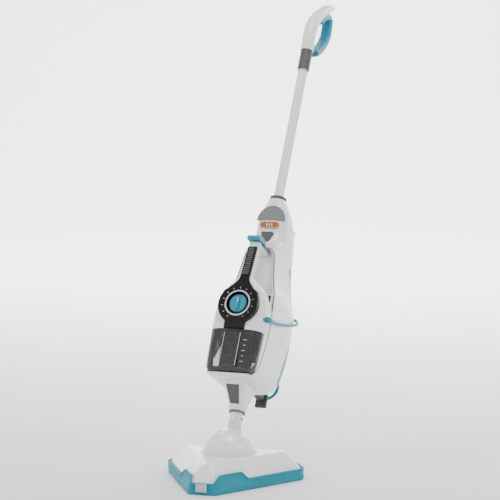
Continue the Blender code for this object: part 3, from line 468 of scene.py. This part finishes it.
CORD_D = 7.0
HANK = {
    "x": -22.0,
    "z": 270.0,
    "y": 119.6,  # depth of the first layer
    "half": 50.0,  # half of the straight run
    "inner": 21.5,  # centreline radius of the inner turns
    "columns": 3,
    "layers": 4,
    "pitch": 7.4,
}
LAST_TURN = 0.245  # the share of the last turn that is made before it leaves for the plug
LOOP_R = 28.0  # radius of the loop under the plug
LOOP_Z = -66  # its centre, from the hank's centre
LEAVE_Z = -12  # where the tail starts to step out behind the hank
LEAD = [
    (66.6, -77.5, 279.4),
    (66.6, -65, 281.5),
    (66.6, -48, 284.5),
    (66.6, -28, 289),
    (66.6, -6, 295),
    (66.6, 16, 302),
    (66.4, 38, 310),
    (65.6, 58, 317.5),
    (63.8, 76, 325),
    (60.0, 92, 333),
    (53.0, 105, 341.5),
    (43.5, 114.5, 349),
    (33, 120, 353),
    (22.5, 123, 355.5),
    (11, 124.5, 357),
]


def stadium(radius, y, part, count):
    """Points round a part of a hank's turn, starting at the top and going over to the left."""
    straight = 2 * HANK["half"]
    bend = math.pi * radius
    whole = 2 * straight + 2 * bend
    out = []
    for i in range(count):
        s = part * i / count * whole
        if s < bend / 2:
            a = math.pi / 2 + s / radius
            p = (math.cos(a) * radius, HANK["half"] + math.sin(a) * radius)
        elif s < bend / 2 + straight:
            p = (-radius, HANK["half"] - (s - bend / 2))
        elif s < bend * 1.5 + straight:
            a = math.pi + (s - bend / 2 - straight) / radius
            p = (math.cos(a) * radius, -HANK["half"] + math.sin(a) * radius)
        elif s < bend * 1.5 + 2 * straight:
            p = (radius, -HANK["half"] + (s - bend * 1.5 - straight))
        else:
            a = (s - bend * 1.5 - 2 * straight) / radius
            p = (math.cos(a) * radius, HANK["half"] + math.sin(a) * radius)
        out.append((HANK["x"] + p[0], y, HANK["z"] + p[1]))
    return out


def hank_turns():
    """The hank's turns, from the outer column inwards, the last one cut short."""
    outer = HANK["inner"] + HANK["pitch"] * (HANK["columns"] - 1)
    turns = []
    for column in range(HANK["columns"]):
        radius = outer - HANK["pitch"] * column + 0.35
        layers = range(HANK["layers"])
        for layer in layers if column % 2 == 0 else reversed(layers):
            turns.append((radius, HANK["y"] + HANK["pitch"] * layer + 0.3))
    route = []
    for i, (radius, y) in enumerate(turns):
        last = i + 1 == len(turns)
        after = (radius, y) if last else turns[i + 1]
        ring = stadium(radius, y, LAST_TURN, 14) if last else stadium(radius, y, 1.0, 48)
        for k, p in enumerate(ring):
            ease = max(0.0, (k / len(ring) - 0.78) / 0.22) if not last else 0.0
            ease = ease * ease * (3 - 2 * ease)
            grow = (after[0] - radius) * ease
            over = max(p[2] - HANK["z"] - HANK["half"], 0.0)
            x = HANK["x"] + (p[0] - HANK["x"]) * (1 + grow / radius)
            route.append((x, y + (after[1] - y) * ease, p[2] + grow * over / radius))
    return route


def tail_route(start_y):
    """From the last turn's left side: down, a wide loop under the plug, and up into it."""
    rear = HANK["y"] + HANK["pitch"] * HANK["layers"] + CORD_D / 2 + 4.0
    end = rear + CORD_D + 1.4
    left = HANK["x"] - HANK["inner"]
    drop = (-14, -22, -30, -38, -46, -54, -60, LOOP_Z)
    plan = [(left, z) for z in drop]
    round_loop = [(a, LOOP_Z) for a in np.linspace(180, 450, 31)[1:]]
    round_loop += [(a, LOOP_Z + 2 * LOOP_R) for a in np.linspace(-90, -180, 11)[1:]]
    for a, centre in round_loop:
        turn = math.radians(a)
        plan.append((left + LOOP_R + LOOP_R * math.cos(turn), centre + LOOP_R * math.sin(turn)))
    straight = len(drop) - 1
    out = []
    for i, (x, z) in enumerate(plan):
        down = i <= straight
        if down:
            share = (LEAVE_Z - z) / (LEAVE_Z - LOOP_Z)
        else:
            share = (i - straight) / (len(plan) - 1 - straight)
        t = min(max(share, 0), 1)
        ease = t * t * (3 - 2 * t)
        y = start_y + (rear - start_y) * ease if down else rear + (end - rear) * ease
        out.append((x, y, HANK["z"] + z))
    return out


def evened(route, step, spread):
    """The route at even steps, each point drawn towards its neighbours within a spread."""
    pts = np.array(route)
    run = np.concatenate([[0], np.cumsum(np.linalg.norm(np.diff(pts, axis=0), axis=1))])
    marks = np.linspace(0, run[-1], int(run[-1] / step) + 1)
    even = np.stack([np.interp(marks, run, pts[:, i]) for i in range(3)], axis=1)
    reach = int(3 * spread / step) + 1
    weights = np.exp(-0.5 * (np.arange(-reach, reach + 1) * step / spread) ** 2)
    before = 2 * even[0] - even[1 : reach + 1][::-1]
    after = 2 * even[-1] - even[-reach - 1 : -1][::-1]
    padded = np.concatenate([before, even, after])
    soft = [np.convolve(padded[:, i], weights / weights.sum(), "valid") for i in range(3)]
    return np.stack(soft, axis=1)


def tightest(pts):
    """The smallest bend radius along a line of even points."""
    a, b = pts[1:-1] - pts[:-2], pts[2:] - pts[1:-1]
    step = np.linalg.norm(a, axis=1)
    angle = np.arccos(np.clip((a * b).sum(1) / step / np.linalg.norm(b, axis=1), -1, 1))
    return float((step / np.maximum(angle, 1e-6)).min())


def measure(route):
    return sum(math.dist(a, b) for a, b in zip(route, route[1:]))


def make_cord():
    turns = hank_turns()
    joint = [tuple(p) for p in smooth_line(LEAD + [(-6, 121.6, 357.6), turns[1]], 40)]
    whole = joint[:-1] + turns[1:]
    route = evened(whole + tail_route(turns[-1][1]), 3.0, 4.0)
    print("tightest bend mm", round(tightest(route), 1))
    print("cord length mm", round(measure(route), 1))
    curve = bpy.data.curves.new("mains_cord", "CURVE")
    curve.dimensions = "3D"
    curve.bevel_depth = CORD_D / 2 * MM
    curve.bevel_resolution = 6
    curve.use_fill_caps = True
    spline = curve.splines.new("POLY")
    spline.points.add(len(route) - 1)
    for slot, p in zip(spline.points, route):
        slot.co = (*in_body(tuple(p)), 1)
    curve.materials.append(FINISHES["cord_sheath"])
    made = bpy.data.objects.new("mains_cord", curve)
    bpy.context.scene.collection.objects.link(made)
    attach(made, "body")
    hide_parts("cord_lead", "cord_hank", "cord_tail")


# ------------------------------------------------------------------ cleaning pad

SIDE, CORNER_CUT, CORNER_R, BALL_BACK = 370.0, 60.0, 18.0, 12.5
PAD_RIM, TAB_RISE = 24.0, 15.0


def head_outline(inset, radius, n=6):
    """The head's outline drawn in by inset: a triangle with cut, rounded corners, one in front."""
    side = SIDE - 2 * math.sqrt(3) * inset
    corner = CORNER_CUT - inset / math.cos(math.radians(30))
    reach = side / math.sqrt(3)
    angles = [math.radians(a) for a in (-90, 30, 150)]
    tips = [Vector((math.cos(a), math.sin(a))) * reach for a in angles]
    points = []
    for i, tip in enumerate(tips):
        before, after = tips[i - 1], tips[(i + 1) % 3]
        points += [tip + (before - tip) / side * corner, tip + (after - tip) / side * corner]
    ring = []
    for i, p in enumerate(points):
        a = (points[i - 1] - p).normalized()
        b = (points[(i + 1) % len(points)] - p).normalized()
        half = math.acos(max(-1, min(1, a.dot(b)))) / 2
        sides = [(q - p).length for q in (points[i - 1], points[(i + 1) % 6])]
        back = min(radius / math.tan(half), 0.45 * min(sides))
        r = back * math.tan(half)
        centre = p + (a + b).normalized() * (r / math.sin(half))
        start, end = p + a * back - centre, p + b * back - centre
        a0, a1 = math.atan2(start.y, start.x), math.atan2(end.y, end.x)
        turn = (a1 - a0 + math.pi) % (2 * math.pi) - math.pi
        for k in range(n + 1):
            t = a0 + turn * k / n
            ring.append((centre.x + r * math.cos(t), centre.y + r * math.sin(t) - BALL_BACK))
    return ring


def along(ring, count):
    """A closed outline read again at count even steps."""
    pts = np.array(ring + [ring[0]])
    run = np.concatenate([[0], np.cumsum(np.hypot(*np.diff(pts, axis=0).T))])
    steps = np.arange(count) / count * run[-1]
    columns = [np.interp(steps, run, pts[:, i]) for i in (0, 1)]
    return [(float(x), float(y)) for x, y in zip(*columns)]


def tab_height(x, y):
    front = min(p[1] for p in head_outline(0, CORNER_R))
    reach = math.hypot(x, y - front)
    rise = min(max((reach - 22) / 14, 0), 1) * min(max((112 - reach) / 26, 0), 1)
    return rise * rise * (3 - 2 * rise) if y < 0 else 0.0


def make_pad():
    """The microfibre pad: a padded skirt with two tabs up its front, sewn and bound at its rim."""
    count = 360
    tuck = 0.92  # how far a tab's top leans in to the tabs' line
    profile = [
        (4.5, 0.2), (3.0, 0.0), (1.4, 0.9), (0.5, 2.4), (0.15, 4.5), (0.0, 7.5), (0.0, 11.0),
        (0.1, 14.5), (0.3, 17.5), (0.55, 19.8), (1.15, 20.6), (0.6, 21.4), (0.7, 23.2), (1.7, 24.2),
        (2.8, 24.3), (3.9, 23.6), (4.6, 22.0), (4.7, 18.0), (4.7, 10.0), (4.7, 4.0),
    ]  # fmt: skip
    depths = {depth for depth, z in profile}
    outlines = {d: along(head_outline(d, CORNER_R - d * 0.35), count) for d in depths}
    tab_line = along(head_outline(9.5, CORNER_R - 4), count)
    rings = []
    base = outlines[0.0]
    rise = [tab_height(x, y) for x, y in base]
    for depth, z in profile:
        ring = []
        for i, (x, y) in enumerate(outlines[depth]):
            lift = min(max((z - 10.0) / 14.0, 0), 1)
            t = rise[i] * lift
            tx, ty = tab_line[i]
            px, py = x + (tx - x) * t * tuck, y + (ty - y) * t * tuck
            pz = z + TAB_RISE * t * (0.98 if depth < 4 else 0.9)
            if 0.5 < z < 20 and depth < 4:
                puff = noise.noise(Vector((x * 0.045, y * 0.045, z * 0.09))) * 1.1
                pucker = noise.noise(Vector((x * 0.16, y * 0.16, z * 0.03 + 7))) * 0.55
                push = 1 + (puff + pucker - 0.5) / 170
                px, py = px * push, py * push
            ring.append((px, py, max(pz, 0.0)))
        rings.append(ring)
    pad = piece("microfibre_pad", loft(rings), "teal_fabric", "floor_head", HEAD_SPACE, 60)
    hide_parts("cleaning_pad")

    edge = []
    for i in range(count):
        x, y = outlines[1.7][i]
        t = rise[i]
        tx, ty = tab_line[i]
        px, py = x + (tx - x) * t * tuck, y + (ty - y) * t * tuck
        edge.append(Vector((px, py, PAD_RIM + TAB_RISE * t * 0.98)))
    turns = np.linspace(0, 2 * math.pi, 11)[:-1]
    rings = []
    for i, p in enumerate(edge):
        ahead = (edge[(i + 1) % count] - edge[i - 1]).normalized()
        out = Vector((ahead.y, -ahead.x, 0)).normalized()
        up = out.cross(ahead).normalized() * -1
        pinch = 1 + 0.06 * math.sin(i * 1.7)
        round_it = [out * math.cos(a) * 2.1 + up * math.sin(a) * 1.25 for a in turns]
        rings.append([tuple(p + away * pinch) for away in round_it])
    trim = piece("pad_binding", loft(rings, closed=True), "binding", "floor_head", HEAD_SPACE, 80)


# ------------------------------------------------------------------ trim and small parts


def bar_along(points, radii, sides, across=Vector((0, 0, 1))):
    """A closed bar through points, with a radius at each; across is any way not along it."""
    pts = [Vector(p) for p in points]
    rings = []
    for i, p in enumerate(pts):
        ahead = (pts[min(i + 1, len(pts) - 1)] - pts[max(i - 1, 0)]).normalized()
        side = ahead.cross(across).normalized()
        up = side.cross(ahead)
        turns = [2 * math.pi * k / sides for k in range(sides)]
        rings.append([tuple(p + (side * math.cos(a) + up * math.sin(a)) * radii[i]) for a in turns])
    return loft(rings)


def joined(meshes):
    """One bmesh from several."""
    out = bmesh.new()
    for part in meshes:
        data = bpy.data.meshes.new("part")
        part.to_mesh(data)
        part.free()
        out.from_mesh(data)
        bpy.data.meshes.remove(data)
    return out


def slab(outline, front, back, bevel=0.0):
    """A flat plate from an (x, z) outline, between two depths, with its front edge bevelled."""
    middle = (sum(p[0] for p in outline) / len(outline), sum(p[1] for p in outline) / len(outline))

    def ring(y, shrink):
        out = []
        for x, z in outline:
            away = Vector((x - middle[0], z - middle[1]))
            away -= away.normalized() * shrink
            out.append((middle[0] + away.x, y, middle[1] + away.y))
        return out

    return loft([ring(back, 0), ring(front + bevel, 0), ring(front, bevel)])


def rounded(half_x, half_z, r, centre=(0, 0), n=5):
    """A rounded rectangle's outline in x and z."""
    out = []
    for i, (sx, sz) in enumerate(((1, 1), (-1, 1), (-1, -1), (1, -1))):
        for k in range(n + 1):
            a = math.radians(90 * i + 90 * k / n)
            x = centre[0] + sx * (half_x - r) + r * math.cos(a)
            out.append((x, centre[1] + sz * (half_z - r) + r * math.sin(a)))
    return out


BOOT_LENGTH, BOOT_RIB = 36, 2.6


def make_boot():
    """The ribbed, tapered boot where the cord leaves the handheld unit."""
    path = smooth_line(LEAD, 120)
    points, radii = [], []
    for p in path:
        away = p[1] - LEAD[0][1]
        if away > BOOT_LENGTH:
            break
        rib = 0.5 if int(away / BOOT_RIB) % 2 == 0 and 4 < away < BOOT_LENGTH - 5 else 0.0
        points.append(tuple(p))
        radii.append(5.3 - 1.35 * away / BOOT_LENGTH + rib * (1 - away / 50))
    boot = piece("cord_boot", bar_along(points, radii, 20), "teal_plastic", "handheld", smooth=50)


# rows of (z, depth) down the face of the black trim
TRIM_FACE = [(240, -101.5), (262, -103), (285, -104), (325, -104)]
TRIM_FACE += [(345, -101), (369, -96.2), (400, -91.5), (442, -85.5)]
GRIP_RIBS, GRIP_RIB_Z, GRIP_RIB_STEP = 14, 376, 4.7
DIAL_Z = 305.0
RIM_R, RIM_Y = 18.2, -102.9
BADGE_Z = 520.0
TANK_FRONT = -96.9
FACET_Z = 204
FORWARD = Vector((0, 1, 0))


def read(table, z):
    """The value of a table of rows (z, value) at a height, along straight lines."""
    return float(np.interp(z, [row[0] for row in table], [row[1] for row in table]))


def make_grip_ribs():
    """The row of soft ribs down the front of the grip."""
    bars = []
    for i in range(GRIP_RIBS):
        z = GRIP_RIB_Z + GRIP_RIB_STEP * i
        y = read(TRIM_FACE, z) - 0.15
        half = 7.6 - 0.05 * i
        places = np.linspace(-half, half, 9)
        points = [(x, y + 0.02 * abs(x), z) for x in places]
        radii = [1.15 * math.sqrt(max(1 - (x / half) ** 4, 0.12)) for x in places]
        bars.append(bar_along(points, radii, 10))
    ribs = piece("grip_ribs", joined(bars), "seal_rubber", "handheld", smooth=50)


def make_dial_detail():
    """The dial's raised rim, finger bar and pointer, and the printed marks round it."""
    turns = [2 * math.pi * k / 72 for k in range(72)]
    rim = [(RIM_R * math.cos(a), RIM_Y, DIAL_Z + RIM_R * math.sin(a)) for a in turns]
    profile = [(0.9 * math.cos(a), 0.8 * math.sin(a)) for a in np.linspace(0, 2 * math.pi, 11)[:-1]]
    rings = []
    for x, y, z in rim:
        out = Vector((x, 0, z - DIAL_Z)).normalized()
        rings.append([(x + out.x * u, y + v, z + out.z * u) for u, v in profile])
    finger = slab(rounded(2.7, 14.5, 2.6, (0, DIAL_Z)), -106.0, -102.2, 0.9)
    both = joined([loft(rings, closed=True), finger])
    knob = piece("dial_rim", both, "teal_plastic", "dial", smooth=40)
    pointer = slab(rounded(0.8, 4.6, 0.7, (0, DIAL_Z + 7.5)), -106.25, -105.8, 0.1)
    piece("dial_pointer", pointer, "mark_white", "dial")
    marks = []
    for i, degrees in enumerate(range(-60, 241, 25)):
        a = math.radians(degrees)
        inner, outer = 33.0, 35.0 + 0.175 * i
        ends = [(r * math.cos(a), -104.05, DIAL_Z + r * math.sin(a)) for r in (inner, outer)]
        marks.append(bar_along(ends, (0.45, 0.55), 8, FORWARD))
    piece("dial_marks", joined(marks), "mark_white", "handheld")


def make_badge_icon():
    """Three rising wisps of steam and a rim on the badge."""
    y = -21.75
    steps = np.linspace(0, 1, 15)
    radii = [0.25 + 0.75 * math.sin(math.pi * (0.08 + 0.84 * t)) for t in steps]
    wisps = []
    for x in (-6.0, 0.0, 6.0):
        low = BADGE_Z - 4.6
        points = [(x + 1.1 * math.sin(2 * math.pi * t), y, low + 9.2 * t) for t in steps]
        wisps.append(bar_along(points, radii, 8, FORWARD))
    piece("badge_icon", joined(wisps), "mark_white", "body")
    outline = [Vector((x, 0, z)) for x, z in rounded(21.6, 6.8, 6.7, (0, BADGE_Z), 10)]
    section = ((-0.35, 0.3), (-0.35, -0.15), (0.35, -0.15), (0.35, 0.3))
    rings = []
    for i, p in enumerate(outline):
        ahead = (outline[(i + 1) % len(outline)] - outline[i - 1]).normalized()
        side = Vector((ahead.z, 0, -ahead.x))
        rings.append([(p.x + side.x * u, y + v, p.z + side.z * u) for u, v in section])
    piece("badge_rim", loft(rings, closed=True), "mark_white", "body")


def make_tank_facet():
    """The tank's raised middle, with a painted highlight as a pale line down each side, and the
    fill-level marks.
    """
    plate = slab(rounded(19.0, 40.0, 4.0, (0, FACET_Z)), -100.4, -96.0, 1.6)
    piece("tank_facet", plate, "smoke_clear", "tank")
    # the two pale lines down the facet's sides are painted highlights; the marks below are printed fill
    # levels
    lines = [slab(rounded(0.55, 36.5, 0.5, (x, FACET_Z)), -100.5, -99.4, 0.1) for x in (-18.1, 18.1)]
    for i in range(5):
        mark = rounded(2.6 if i % 2 else 4.2, 0.5, 0.4, (30, 178 + 12 * i))
        lines.append(slab(mark, TANK_FRONT, TANK_FRONT + 1.9, 0.1))
    piece("tank_highlights_and_marks", joined(lines), "pale_grey", "tank")


# rows of (z, half-width) of the body and of the handheld unit, and of (z, depth) of their seam
BODY_HALF = [(150, 50), (158, 54.5), (176, 58.5), (210, 60), (240, 60.8), (300, 61), (340, 60)]
BODY_HALF += [(350, 57.6), (360, 54), (370, 50), (380, 47), (400, 43.5), (425, 39.5), (445, 37.8)]
BODY_HALF += [(458, 37.4), (470, 37.2)]
UNIT_HALF = [(155.2, 42), (158.5, 50), (166, 55), (180, 57.5), (210, 59.2), (249, 60.2)]
UNIT_HALF += [(280, 60.5), (305, 58.5)]
SEAM = [(150, -78), (158, -74), (165, -70), (180, -63), (200, -57), (232, -52), (300, -50)]
SEAM += [(340, -51), (352, -47), (365, -41.5), (380, -39), (420, -39), (445, -39.5), (458, -38)]
SEAM += [(470, -32.5)]
SEAL_R = 0.85


def recess_half(z):
    """Half-width of the recess that takes the handheld unit, with its arched top."""
    half = read(BODY_HALF, z) - 3.4
    if z > 430:
        half = min(half, 14 + (half - 14) * math.sqrt(max(1 - ((z - 430) / 29.0) ** 2, 0)))
    return max(half, 14.0)


def make_gasket():
    """The dark seal between the handheld unit and the body, up and over the recess's arch."""
    right = []
    for z in list(np.linspace(162, 300, 30)) + list(np.linspace(304, 458, 60)):
        outer = read(UNIT_HALF, z) + 0.1
        inner = recess_half(z) - 0.15
        t = min(max((z - 300) / 34, 0), 1)
        right.append((outer + (inner - outer) * t * t * (3 - 2 * t), read(SEAM, z) - 0.3, z))
    over = [(x, read(SEAM, 458.6) - 0.3, 458.8) for x in np.linspace(12, -12, 7)]
    points = right + over + [(-x, y, z) for x, y, z in reversed(right)]
    bar = bar_along(points, [SEAL_R] * len(points), 8, Vector((0, 1, 0.02)))
    seal = piece("seam_seal", bar, "black_plastic", "body", smooth=60)


def make_trim():
    make_gasket()
    make_boot()
    make_grip_ribs()
    make_dial_detail()
    make_badge_icon()
    make_tank_facet()


# ------------------------------------------------------------------ floor


def make_floor():
    """A wide floor whose far rim curves up all round, like a paper sweep. Lengths are metres."""
    flat, sweep = 6.5, 3.5
    profile = [(2.0, 0.0), (4.5, 0.0), (flat, 0.0)]
    climb = np.linspace(0.1, 1.57, 16)
    profile += [(flat + sweep * math.sin(a), sweep * (1 - math.cos(a))) for a in climb]
    profile.append((10.0, 5.0))
    bm = bmesh.new()
    count = 96
    rows = []
    for r, z in profile:
        turns = [2 * math.pi * k / count for k in range(count)]
        rows.append([bm.verts.new((r * math.cos(a), r * math.sin(a), z)) for a in turns])
    bm.faces.new(rows[0])
    for a, b in zip(rows, rows[1:]):
        for k in range(count):
            j = (k + 1) % count
            bm.faces.new((a[k], b[k], b[j], a[j]))
    data = bpy.data.meshes.new("floor")
    bm.to_mesh(data)
    bm.free()
    data.materials.append(FINISHES["floor"])
    data.shade_smooth()
    floor = bpy.data.objects.new("floor", data)
    bpy.context.scene.collection.objects.link(floor)


set_camera()
set_studio()
make_floor()
finish_frame()
make_cord()
make_pad()
make_trim()
